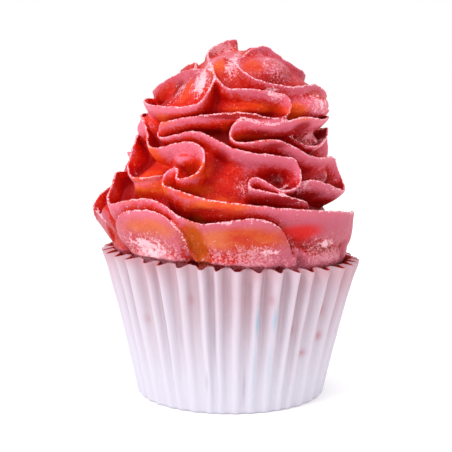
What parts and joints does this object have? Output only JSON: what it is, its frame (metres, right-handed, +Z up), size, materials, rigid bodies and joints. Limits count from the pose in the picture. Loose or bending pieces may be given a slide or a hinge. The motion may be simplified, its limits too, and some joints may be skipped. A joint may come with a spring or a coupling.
{
  "type": "cupcake",
  "caption": "Cupcake in a pleated paper case, topped with a tall leaning swirl of piped ruffled icing.",
  "frame": {"origin": "middle of the paper case's flat base", "axes": "+Z up through the case and the icing; -Y is the front, the side shown"},
  "size_m": [0.0712, 0.0696, 0.0935],
  "materials": {
    "paper": "greaseproof, pearly white with a red stain at the rim",
    "sponge": "matte crumb",
    "icing": "soft sheen, pink red lips and orange valleys, dusted"
  },
  "bodies": {
    "root": {"paper_case": "paper", "sponge": "sponge", "icing": "icing"}
  },
  "joints": []
}
